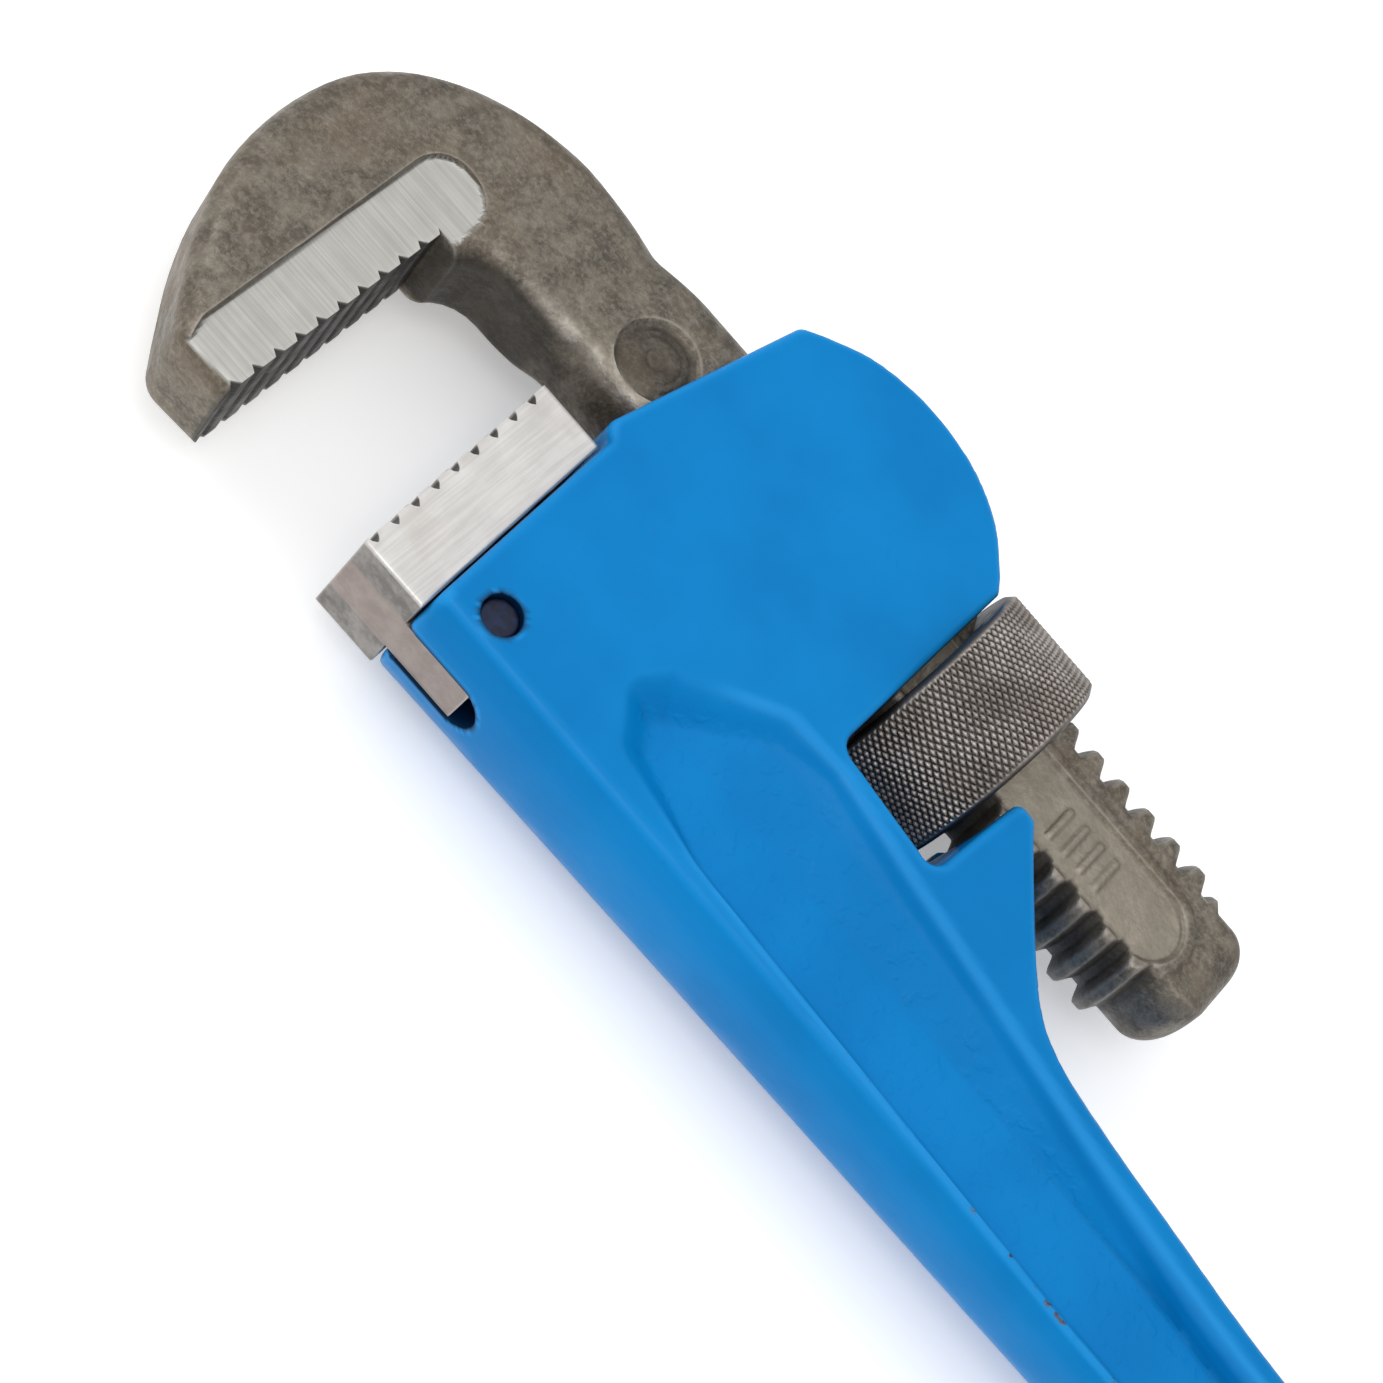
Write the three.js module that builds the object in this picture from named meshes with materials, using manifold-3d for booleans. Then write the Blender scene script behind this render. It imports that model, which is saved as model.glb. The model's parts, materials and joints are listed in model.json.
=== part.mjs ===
// Adjustable pipe wrench, 250 mm pattern, jaws part open, lying on its side.
// Millimetres, +Z up. Working frame: X runs along the shank towards the handle end with 0 at the
// heel jaw's seat, Y runs from the open jaw side to the back with 0 on the shank's axis, and Z = 0 is
// the mid plane of the wrench. The finished group is shifted so that its box stands centred on Z = 0.
import * as THREE from 'three';
import { mergeVertices } from 'three/addons/utils/BufferGeometryUtils.js';
import { ConvexGeometry } from 'three/addons/geometries/ConvexGeometry.js';
import Module from 'manifold-3d';

const wasm = await Module();
wasm.setup();

// ---- driving dimensions ----
const GAP = 0.3;                 // clearance between pieces that touch on the real tool
const FAR = 60;                  // reach of a cutter that has to run past everything

// threaded shank of the hook jaw
const SHANK_R = 10.7;            // round back and front of the plain shank
const SHANK_HALF = 7.2;          // half thickness over the two flats
const THREAD_R = 11.0;           // crest radius
const THREAD_ROOT_R = 9.1;
const PITCH = 4.6;               // right-hand, single start
const THREAD_START = 20.3;
const THREAD_END = 89.4;
const TANG_END = 97.0;
const TANG_END_ROUND = 7.0;
const CREST_AT = 20.0;           // a crest crosses the back of the shank here
const THREAD_STEPS = 24;         // facets in one turn
const PANEL_Y = -2.4;            // middle line of the sunken panel on each flat of the tang
const PANEL_R = 5.3;

// hook jaw head
const HEAD_HALF = 7.9;           // half thickness of the forged head
const HEAD_ROUND = 5.6;          // depth over which the forged edges round off
const HEAD_BEVEL = 2.6;          // how far they round off inwards
const TOOTH_PITCH = 3.4;
const TOOTH_COUNT = 10;
const TOOTH_DEPTH = 1.5;
const HOOK_TEETH_TOP = [-29.9, -13.6];   // crest line of the hook teeth, throat end
const HOOK_TEETH_LEAN = -0.014;          // lean of the crest line along Y, as a slope
const FLANK_HALF = 7.2;          // half thickness over the milled flank beside the teeth

// heel jaw and its pin
const HEEL_FACE = -9.0;          // crest line of the heel teeth, at the top
const HEEL_SEAT = 0.4;           // back of the heel jaw, at the top
const HEEL_LEAN = -0.043;        // the heel jaw leans towards the grip as it goes down, as a slope
const HEEL_TOP = -17.7;
const HEEL_BOTTOM = -49.0;
const HEEL_HALF = 8.5;
const TENON_HALF = 3.3;
const TENON_END = 12.2;
const PIN_AT = [8.0, -43.2];
const PIN_R = 2.5;
const PIN_HALF = 9.4;

// adjusting nut
const NUT_FROM = 44.9;
const NUT_TO = 59.8;
const NUT_R = 15.8;
const NUT_CHAMFER = 1.6;
const NUT_CENTRE = 52.4;         // the jaw rocks about this point

// handle casting
const HOUSING_HALF = 10.5;       // half thickness over the housing, ears and heel seat
const GRIP_HALF = 7.2;           // half thickness of the grip
const GRIP_FROM = 119;           // the taper ends here
const EDGE_Y = -49.7;            // crown of the front flange
const CROWN_R = 14.4;
const RECESS_DEPTH = 3.7;        // depth of the panel between the flanges, each side
const HANDLE_END = 191;
const END_R = 9.9;
const HANG_HOLE_R = 5.5;
const ROCK_OPEN = -0.8;          // degrees, jaw rocked open against the back wall
const ROCK_SHUT = 3.2;           // degrees, jaw rocked shut against its spring

// spring set in the front wall of the channel
const LEAF_FROM = 3.5;
const LEAF_TO = 40.5;
const LEAF_TOP = -12.1;
const LEAF_THICK = 0.8;
const LEAF_HALF = 4.2;
const RIVET_X = 22;
const COIL_R = 2.9;              // radius of the wire's centre line
const COIL_WIRE = 0.55;
const COIL_TURNS = 4.5;
const POCKET_R = 4.2;
const POCKET_FLOOR = -23.2;

// ---- tools for solids ----
function toSolid(geometry) {
  const bare = geometry.clone();
  bare.deleteAttribute('normal');
  bare.deleteAttribute('uv');
  const merged = mergeVertices(bare, 1e-4);
  return new wasm.Manifold(new wasm.Mesh({
    numProp: 3,
    vertProperties: new Float32Array(merged.attributes.position.array),
    triVerts: new Uint32Array(merged.index.array),
  }));
}

function toGeometry(solid) {
  const mesh = solid.getMesh();
  const geometry = new THREE.BufferGeometry();
  geometry.setAttribute('position', new THREE.BufferAttribute(mesh.vertProperties, 3));
  geometry.setIndex(new THREE.BufferAttribute(mesh.triVerts, 1));
  geometry.computeVertexNormals();
  return geometry;
}

function outline(points) {
  return new THREE.Shape(points.map(([u, v]) => new THREE.Vector2(u, v)));
}

function disc(u, v, radius) {
  return new THREE.Shape().absarc(u, v, radius, 0, 2 * Math.PI);
}

// A prism of a shape drawn in X and Y, standing from z0 to z1.
function prismZ(shape, z0, z1, curveSegments = 8) {
  const geometry = new THREE.ExtrudeGeometry(shape, { depth: z1 - z0, bevelEnabled: false, curveSegments });
  geometry.translate(0, 0, z0);
  return toSolid(geometry);
}

// A prism of a shape drawn in X and Z, from y0 to y1.
function prismY(shape, y0, y1, curveSegments = 8) {
  const geometry = new THREE.ExtrudeGeometry(shape, { depth: y1 - y0, bevelEnabled: false, curveSegments });
  geometry.rotateX(Math.PI / 2);
  geometry.translate(0, y1, 0);
  return toSolid(geometry);
}

// A prism of a shape drawn in Y and Z, from x0 to x1.
function prismX(shape, x0, x1, curveSegments = 8) {
  const geometry = new THREE.ExtrudeGeometry(shape, { depth: x1 - x0, bevelEnabled: false, curveSegments });
  const axes = new THREE.Matrix4().makeBasis(
    new THREE.Vector3(0, 1, 0), new THREE.Vector3(0, 0, 1), new THREE.Vector3(1, 0, 0));
  geometry.applyMatrix4(axes);
  geometry.translate(x0, 0, 0);
  return toSolid(geometry);
}

function box(x0, x1, y0, y1, z0, z1) {
  const geometry = new THREE.BoxGeometry(x1 - x0, y1 - y0, z1 - z0);
  geometry.translate((x0 + x1) / 2, (y0 + y1) / 2, (z0 + z1) / 2);
  return toSolid(geometry);
}

// A solid of revolution about the shank's axis, from a profile of [x, radius] points.
function turnedX(profile, segments = 40) {
  const geometry = new THREE.LatheGeometry(profile.map(([x, r]) => new THREE.Vector2(r, x)), segments);
  geometry.rotateZ(-Math.PI / 2);
  return toSolid(geometry);
}

// A circle with two flats: the section of the shank, in Y and Z.
function flattedCircle(radius, half) {
  const reach = Math.asin(half / radius);
  const shape = new THREE.Shape();
  shape.absarc(0, 0, radius, -reach, reach, false);
  shape.absarc(0, 0, radius, Math.PI - reach, Math.PI + reach, false);
  return shape;
}

// A right-hand thread about X, closed by a cone at each end. The profile has four points in each
// pitch: root, root, crest, crest. `grow` widens it all round, for the tap that cuts the nut.
function threadedRod(turns, firstX, grow = 0) {
  const profile = [
    [0.00 + 0.16 * grow, THREAD_ROOT_R + grow],
    [0.22 - 0.16 * grow, THREAD_ROOT_R + grow],
    [0.50 - 0.12 * grow, THREAD_R + grow],
    [0.72 + 0.12 * grow, THREAD_R + grow],
  ];
  const rows = profile.length;
  const last = rows * turns;
  const positions = [];
  const columnStart = [];
  for (let j = 0; j < THREAD_STEPS; j += 1) {
    columnStart.push(positions.length / 3);
    const angle = 2 * Math.PI * j / THREAD_STEPS;
    const count = j === 0 ? last + rows : last;
    for (let i = 0; i <= count; i += 1) {
      const [offset, radius] = profile[i % rows];
      const x = firstX + PITCH * (Math.floor(i / rows) + offset + j / THREAD_STEPS);
      positions.push(x, radius * Math.cos(angle), radius * Math.sin(angle));
    }
  }
  const at = (row, column) => (column === THREAD_STEPS
    ? columnStart[0] + row + rows
    : columnStart[column] + row);
  const faces = [];
  for (let j = 0; j < THREAD_STEPS; j += 1) {
    for (let i = 0; i < last; i += 1) {
      faces.push(at(i, j), at(i + 1, j + 1), at(i + 1, j));
      faces.push(at(i, j), at(i, j + 1), at(i + 1, j + 1));
    }
  }
  const startTip = positions.length / 3;
  positions.push(firstX - PITCH, 0, 0);
  const endTip = startTip + 1;
  positions.push(firstX + PITCH * (turns + 2), 0, 0);
  for (let j = 0; j < THREAD_STEPS; j += 1) {
    faces.push(startTip, at(0, j + 1), at(0, j));
    faces.push(endTip, at(last, j), at(last, j + 1));
  }
  for (let i = 0; i < rows; i += 1) {
    faces.push(startTip, at(i, 0), at(i + 1, 0));
    faces.push(endTip, at(last + i + 1, 0), at(last + i, 0));
  }
  const geometry = new THREE.BufferGeometry();
  geometry.setAttribute('position', new THREE.Float32BufferAttribute(positions, 3));
  geometry.setIndex(faces);
  return toSolid(geometry);
}

// The cut face of a jaw: a row of buttress teeth along Y, then straight back to x = behind.
// `steep` is +1 when the short face of each tooth looks towards the throat and -1 when it looks out.
function toothedFace(crestX, topY, lean, side, steep, behind) {
  const points = [];
  const total = TOOTH_PITCH * TOOTH_COUNT;
  const crest = (y) => crestX + lean * (y - topY);
  points.push([behind, topY + FAR]);
  points.push([crest(topY) - side * TOOTH_DEPTH, topY + FAR]);
  for (let n = 0; n <= TOOTH_COUNT; n += 1) {
    const y = topY - n * TOOTH_PITCH;
    const before = steep > 0 ? 0.12 : 0.72;
    points.push([crest(y) - side * TOOTH_DEPTH, y]);
    points.push([crest(y), y - before * TOOTH_PITCH]);
    points.push([crest(y), y - (before + 0.16) * TOOTH_PITCH]);
  }
  points.push([crest(topY - total) - side * TOOTH_DEPTH, topY - total - TOOTH_PITCH]);
  points.push([behind, topY - total - TOOTH_PITCH]);
  return prismZ(outline(points), -FAR, FAR);
}

// ---- hook jaw: forged head, plain shank and threaded tang in one piece ----
function hookJaw() {
  const head = new THREE.Shape();
  head.moveTo(-19.8, 10.5);
  head.lineTo(-25.0, 10.4);
  head.splineThru([
    new THREE.Vector2(-31.0, 9.8), new THREE.Vector2(-37.2, 8.1), new THREE.Vector2(-43.4, 4.9),
    new THREE.Vector2(-48.8, -0.6), new THREE.Vector2(-51.7, -8.5), new THREE.Vector2(-52.3, -18.5),
    new THREE.Vector2(-50.5, -28.4), new THREE.Vector2(-46.2, -37.0), new THREE.Vector2(-40.4, -45.0),
  ]);
  head.quadraticCurveTo(-37.2, -49.3, -33.5, -49.3);
  head.lineTo(-27.5, -49.0);
  head.lineTo(-27.5, -16.5);
  head.quadraticCurveTo(-27.0, -10.2, -19.8, -10.2);
  const headGeometry = new THREE.ExtrudeGeometry(head, {
    depth: 2 * (HEAD_HALF - HEAD_ROUND), bevelEnabled: true, bevelThickness: HEAD_ROUND,
    bevelSize: HEAD_BEVEL, bevelOffset: -HEAD_BEVEL, bevelSegments: 4, curveSegments: 4,
  });
  headGeometry.translate(0, 0, HEAD_ROUND - HEAD_HALF);
  // the head is bevelled all round, then its tooth face is cut square
  const toothCut = toothedFace(HOOK_TEETH_TOP[0], HOOK_TEETH_TOP[1], HOOK_TEETH_LEAN, 1, 1, -70);
  const throat = box(-70, 0, HOOK_TEETH_TOP[1] - 0.1, 20, -FAR, FAR);
  const jawPart = toSolid(headGeometry).intersect(toothCut.add(throat));

  const flank = new THREE.Shape();
  flank.moveTo(-37.6, -45.0);
  flank.lineTo(-38.2, -10.2);
  flank.absarc(-33.4, -10.2, 4.8, Math.PI, 0.25 * Math.PI, true);
  flank.lineTo(-20, -16);
  flank.lineTo(-20, -60);
  flank.lineTo(-31, -60);
  flank.lineTo(-36.5, -49.5);
  const milled = prismZ(flank, FLANK_HALF, FAR).add(prismZ(flank, -FAR, -FLANK_HALF));

  const section = flattedCircle(SHANK_R, SHANK_HALF);
  const plain = prismX(section, -24.0, THREAD_START);
  const thread = threadedRod(17, CREST_AT - 0.61 * PITCH - PITCH)
    .intersect(box(THREAD_START - 0.1, THREAD_END, -FAR, FAR, -SHANK_HALF, SHANK_HALF));
  const round = TANG_END_ROUND;
  const tip = [[THREAD_END - 2, 0], [THREAD_END - 2, THREAD_ROOT_R], [TANG_END - round, THREAD_ROOT_R]];
  for (let k = 1; k <= 5; k += 1) {
    const angle = k / 5 * Math.PI / 2;
    tip.push([TANG_END - round + round * Math.sin(angle), THREAD_ROOT_R - round + round * Math.cos(angle)]);
  }
  tip.push([TANG_END, 0]);
  const tang = turnedX(tip, THREAD_STEPS).intersect(box(0, FAR * 2, -FAR, FAR, -SHANK_HALF, SHANK_HALF));

  // long shallow panel with round ends on each flat of the tang, and a round mark pad on the front
  const panel = new THREE.Shape();
  panel.absarc(26.5, PANEL_Y, PANEL_R, Math.PI / 2, 3 * Math.PI / 2, false);
  panel.absarc(84.0, PANEL_Y, PANEL_R, -Math.PI / 2, Math.PI / 2, false);
  const panelCut = prismZ(panel, SHANK_HALF - 0.35, FAR).add(prismZ(panel, -FAR, -SHANK_HALF + 0.35));
  const pad = new THREE.Shape().absarc(-3.2, -2.6, 5.6, 0, 2 * Math.PI, false);
  pad.holes.push(new THREE.Path().absarc(-3.2, -2.6, 4.4, 0, 2 * Math.PI, true));
  const padCut = prismZ(pad, SHANK_HALF - 0.4, FAR);

  return jawPart.subtract(milled).add(plain).add(thread).add(tang).subtract(panelCut).subtract(padCut);
}

// ---- adjusting nut: chamfered ring, tapped with the same thread ----
function adjustingNut() {
  const body = turnedX([
    [NUT_FROM, 0], [NUT_FROM, NUT_R - NUT_CHAMFER], [NUT_FROM + 1.0, NUT_R], [NUT_TO - 1.0, NUT_R],
    [NUT_TO, NUT_R - NUT_CHAMFER], [NUT_TO, 0],
  ], 56);
  const tap = threadedRod(8, CREST_AT - 0.61 * PITCH + 3 * PITCH, 0.4);
  return body.subtract(tap);
}

// ---- heel jaw: toothed block with a tenon in the handle's slot, crossed by the pin ----
function heelJaw() {
  const seatAt = (y) => HEEL_SEAT + HEEL_LEAN * (y - HEEL_TOP);
  const front = HEEL_FACE - 5;
  const side = outline([[front, HEEL_TOP], [front, HEEL_BOTTOM], [seatAt(HEEL_BOTTOM), HEEL_BOTTOM],
    [seatAt(HEEL_TOP), HEEL_TOP]]);
  const block = prismZ(side, -HEEL_HALF, HEEL_HALF);
  const teeth = toothedFace(HEEL_FACE, HEEL_TOP + 0.6, HEEL_LEAN, -1, -1, 5);
  const slotFill = new THREE.Shape();
  slotFill.moveTo(-1, HEEL_BOTTOM);
  slotFill.lineTo(TENON_END, HEEL_BOTTOM);
  slotFill.lineTo(TENON_END, -26);
  slotFill.quadraticCurveTo(TENON_END, -21, TENON_END - 5, -21);
  slotFill.lineTo(-1, -21);
  const tenon = prismZ(slotFill, -TENON_HALF, TENON_HALF);
  const pinHole = prismZ(disc(...PIN_AT, PIN_R + GAP), -FAR, FAR);
  return block.intersect(teeth).add(tenon).subtract(pinHole);
}

function heelJawPin() {
  const pin = prismZ(disc(...PIN_AT, PIN_R), -PIN_HALF + 0.5, PIN_HALF - 0.5);
  const tip = prismZ(disc(...PIN_AT, PIN_R - 0.5), -PIN_HALF, PIN_HALF);
  return pin.add(tip);
}

// ---- handle casting: heel seat, housing round the shank, nut window, ears and I-section grip ----
function handleOutline() {
  const seatAt = (y) => HEEL_SEAT + GAP + HEEL_LEAN * (y - HEEL_TOP);
  const shape = new THREE.Shape();
  shape.moveTo(seatAt(-48.6), -48.6);
  shape.quadraticCurveTo(seatAt(EDGE_Y), EDGE_Y, seatAt(EDGE_Y) + 1.2, EDGE_Y);
  shape.lineTo(HANDLE_END - END_R, EDGE_Y);
  shape.absarc(HANDLE_END - END_R, EDGE_Y + END_R, END_R, -Math.PI / 2, Math.PI / 2, false);
  shape.splineThru([
    new THREE.Vector2(165, -30.6), new THREE.Vector2(148, -31.2), new THREE.Vector2(129, -30.5),
    new THREE.Vector2(109.0, -28.4), new THREE.Vector2(97.4, -27.2), new THREE.Vector2(87.0, -25.6),
    new THREE.Vector2(81.0, -23.8), new THREE.Vector2(75.8, -19.0), new THREE.Vector2(70.6, -13.6),
    new THREE.Vector2(66.8, -9.2),
  ]);
  shape.quadraticCurveTo(65.6, -7.7, 64.4, -7.6);
  shape.quadraticCurveTo(63.0, -7.5, 62.8, -9.0);
  shape.lineTo(61.5, -20.6);
  shape.quadraticCurveTo(61.3, -22.4, 59.6, -22.3);
  shape.lineTo(45.0, -20.9);
  shape.quadraticCurveTo(43.4, -20.7, 43.4, -19.0);
  shape.lineTo(43.4, 7.6);
  shape.quadraticCurveTo(43.4, 9.6, 41.8, 11.0);
  shape.splineThru([
    new THREE.Vector2(36.6, 15.6), new THREE.Vector2(31.0, 18.8), new THREE.Vector2(25.2, 20.4),
    new THREE.Vector2(19.2, 20.5), new THREE.Vector2(12.8, 19.1), new THREE.Vector2(7.2, 16.1),
  ]);
  shape.quadraticCurveTo(5.0, 14.8, 4.6, 13.0);
  shape.lineTo(-0.6, -13.8);
  shape.quadraticCurveTo(-1.0, -16.6, seatAt(HEEL_TOP + GAP), HEEL_TOP + GAP);
  return shape;
}

function panelOutline() {
  const shape = new THREE.Shape();
  shape.moveTo(24.4, -40.4);
  shape.quadraticCurveTo(21.4, -35.6, 24.6, -31.2);
  shape.lineTo(30.4, -27.8);
  shape.lineTo(35.6, -24.2);
  shape.quadraticCurveTo(37.4, -22.4, 41.0, -22.6);
  shape.lineTo(58.5, -24.6);
  shape.lineTo(86.2, -28.6);
  shape.lineTo(108, -31.6);
  shape.lineTo(125, -33.2);
  shape.lineTo(158, -34.4);
  shape.quadraticCurveTo(166, -34.7, 166, -40.0);
  shape.quadraticCurveTo(166, -46.0, 158, -46.2);
  shape.lineTo(106, -46.6);
  shape.lineTo(62.6, -45.0);
  shape.lineTo(30.4, -43.6);
  shape.quadraticCurveTo(26.0, -43.2, 24.4, -40.4);
  return shape;
}

// Half thickness of the casting along X, drawn in X and Z, less `inset` on each side.
function thicknessProfile(inset, headHalf, fromX, toX) {
  const a = headHalf - inset;
  const b = GRIP_HALF - inset;
  return outline([[-20, -a], [fromX, -a], [toX, -b], [220, -b], [220, b], [toX, b], [fromX, a], [-20, a]]);
}

// The room that the rocking shank needs: its section with clearance, at both ends of the rock.
function shankChannel() {
  const section = flattedCircle(THREAD_R + GAP + 0.1, SHANK_HALF + GAP + 0.1).getPoints(5);
  const points = [];
  for (const degrees of [ROCK_OPEN, ROCK_SHUT]) {
    const angle = THREE.MathUtils.degToRad(degrees);
    for (const x of [-8, 125]) {
      for (const { x: y, y: z } of section) {
        const point = new THREE.Vector3(x - NUT_CENTRE, y, z);
        point.applyAxisAngle(new THREE.Vector3(0, 0, 1), angle);
        points.push(point.add(new THREE.Vector3(NUT_CENTRE, 0, 0)));
      }
    }
  }
  return toSolid(new ConvexGeometry(points));
}

// The room that the leaf spring needs as it rocks with the shank.
function leafChannel() {
  const reach = Math.sin(THREE.MathUtils.degToRad(ROCK_SHUT + 0.3));
  const under = LEAF_TOP - LEAF_THICK - GAP;
  const depthAt = (x) => under - (NUT_CENTRE - x) * reach;
  const side = outline([[-8, 0], [-8, depthAt(-1)], [-1, depthAt(-1)], [LEAF_TO + 1, depthAt(LEAF_TO + 1)],
    [LEAF_TO + 1, 0]]);
  return prismZ(side, -LEAF_HALF - GAP, LEAF_HALF + GAP);
}

function handle() {
  const silhouette = prismZ(handleOutline(), -HOUSING_HALF, HOUSING_HALF, 6);
  const beam = prismY(thicknessProfile(0, HOUSING_HALF, 0, GRIP_FROM), -FAR, FAR);
  // housing and ears stay at full thickness and slope into the beam below them
  const headProfile = outline([[-20, -HOUSING_HALF], [70, -HOUSING_HALF], [98, -GRIP_HALF],
    [98, GRIP_HALF], [70, HOUSING_HALF], [-20, HOUSING_HALF]]);
  const slope = outline([[30, -HOUSING_HALF], [30, HOUSING_HALF], [-20, HOUSING_HALF], [-28, 6],
    [-28, -6], [-20, -HOUSING_HALF]]);
  const thick = prismY(headProfile, -FAR, FAR).intersect(prismX(slope, -20, 140));
  const seatBlock = box(-5, 16, -FAR, 0, -HOUSING_HALF, HOUSING_HALF);
  const body = silhouette.intersect(beam.add(thick).add(seatBlock));

  const web = prismY(thicknessProfile(RECESS_DEPTH, HOUSING_HALF, 0, GRIP_FROM), -FAR, FAR);
  const panels = prismZ(panelOutline(), -FAR, FAR, 5).subtract(web);

  const crown = new THREE.Shape();
  crown.moveTo(40, -30);
  const reach = Math.asin(HOUSING_HALF * 1.1 / CROWN_R);
  crown.lineTo(EDGE_Y + CROWN_R - CROWN_R * Math.cos(reach), -CROWN_R * Math.sin(reach));
  crown.absarc(EDGE_Y + CROWN_R, 0, CROWN_R, Math.PI + reach, Math.PI - reach, true);
  crown.lineTo(40, 30);
  const crowned = prismX(crown, -20, 220, 4);

  const slot = new THREE.Shape();
  slot.moveTo(-10, -FAR);
  slot.lineTo(14.8, -FAR);
  slot.lineTo(14.8, -26);
  slot.quadraticCurveTo(14.8, -20.4, 8.5, -20.4);
  slot.lineTo(-10, -20.4);
  const heelSlot = prismZ(slot, -TENON_HALF - GAP, TENON_HALF + GAP);
  const pinHole = prismZ(disc(...PIN_AT, PIN_R + GAP), -FAR, FAR);
  const hangHole = prismZ(disc(HANDLE_END - END_R - 0.6, EDGE_Y + END_R, HANG_HOLE_R), -FAR, FAR, 12);
  const pocket = prismY(disc(RIVET_X, 0, POCKET_R), POCKET_FLOOR, -10, 8);

  return body.intersect(crowned).subtract(panels).subtract(shankChannel()).subtract(leafChannel())
    .subtract(pocket).subtract(heelSlot).subtract(pinHole).subtract(hangHole);
}

// ---- spring set: leaf against the shank, coil behind it, rivet holding the two together ----
function leafSpring() {
  const mid = (LEAF_FROM + LEAF_TO) / 2;
  const side = new THREE.Shape();
  side.moveTo(LEAF_FROM, LEAF_TOP + 0.35);
  side.quadraticCurveTo(mid, LEAF_TOP - 0.35, LEAF_TO, LEAF_TOP + 0.35);
  side.lineTo(LEAF_TO, LEAF_TOP + 0.35 - LEAF_THICK);
  side.quadraticCurveTo(mid, LEAF_TOP - 0.35 - LEAF_THICK, LEAF_FROM, LEAF_TOP + 0.35 - LEAF_THICK);
  const strip = prismZ(side, -LEAF_HALF, LEAF_HALF);
  return strip.subtract(prismY(disc(RIVET_X, 0, 1.5), -FAR, FAR, 6));
}

function springRivet() {
  const top = LEAF_TOP + GAP;
  const under = LEAF_TOP - LEAF_THICK - GAP;
  const profile = [[top + 0.4, 0], [top + 0.4, 1.2], [top + 0.1, 2.0], [top, 2.0], [top, 1.1], [under, 1.1],
    [under, 1.9], [under - 0.9, 1.5], [under - 1.1, 0]];
  const geometry = new THREE.LatheGeometry(profile.map(([y, r]) => new THREE.Vector2(r, y)).reverse(), 16);
  geometry.translate(RIVET_X, 0, 0);
  return toSolid(geometry);
}

class CoilPath extends THREE.Curve {
  getPoint(t, target = new THREE.Vector3()) {
    const angle = 2 * Math.PI * COIL_TURNS * t;
    const low = POCKET_FLOOR + GAP + COIL_WIRE;
    const high = LEAF_TOP - LEAF_THICK - 2 * GAP - COIL_WIRE;
    return target.set(RIVET_X + COIL_R * Math.cos(angle), low + (high - low) * t, COIL_R * Math.sin(angle));
  }
}

function coilSpring() {
  const wire = new THREE.Shape().absarc(0, 0, COIL_WIRE, 0, 2 * Math.PI);
  const geometry = new THREE.ExtrudeGeometry(wire, {
    steps: 12 * COIL_TURNS, curveSegments: 6, bevelEnabled: false, extrudePath: new CoilPath(),
  });
  return toSolid(geometry);
}

// ---- materials and assembly ----
const material = (name, color, metalness, roughness) => {
  const made = new THREE.MeshStandardMaterial({ color, metalness, roughness });
  made.name = name;
  return made;
};

const pieces = [
  ['handle', handle(), material('blue_enamel', 0x0982c6, 0.0, 0.35)],
  ['hook_jaw', hookJaw(), material('forged_steel', 0x7c7569, 0.8, 0.55)],
  ['adjusting_nut', adjustingNut(), material('dark_steel', 0x716863, 0.8, 0.5)],
  ['heel_jaw', heelJaw(), material('ground_steel', 0xc6c2ba, 0.9, 0.35)],
  ['heel_jaw_pin', heelJawPin(), material('pin_steel', 0x4c4a46, 0.9, 0.45)],
  ['leaf_spring', leafSpring(), material('spring_steel', 0x55534f, 0.9, 0.4)],
  ['coil_spring', coilSpring(), material('spring_wire', 0x6a6863, 0.9, 0.35)],
  ['spring_rivet', springRivet(), material('rivet_steel', 0x8a8880, 0.9, 0.4)],
];

const wrench = new THREE.Group();
wrench.name = 'pipe_wrench';
for (const [name, solid, finish] of pieces) {
  const mesh = new THREE.Mesh(toGeometry(solid), finish);
  mesh.name = name;
  wrench.add(mesh);
}

const bounds = new THREE.Box3().setFromObject(wrench, true);
const centre = bounds.getCenter(new THREE.Vector3());
wrench.position.set(-centre.x, -centre.y, -bounds.min.z);

export default wrench;
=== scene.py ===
"""Adjustable pipe wrench, 250 mm pattern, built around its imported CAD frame.

Sizes are millimetres in the wrench's own axes: X along the threaded shank towards the grip, with 0 at
the heel jaw's seat, Y from the open side of the jaws to the back, Z across the wrench, with Y = Z = 0 on
the shank's axis. place() carries them into the frame, in metres.
"""
import json
import math

import bpy
import numpy as np
from mathutils import Matrix, Vector


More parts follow.
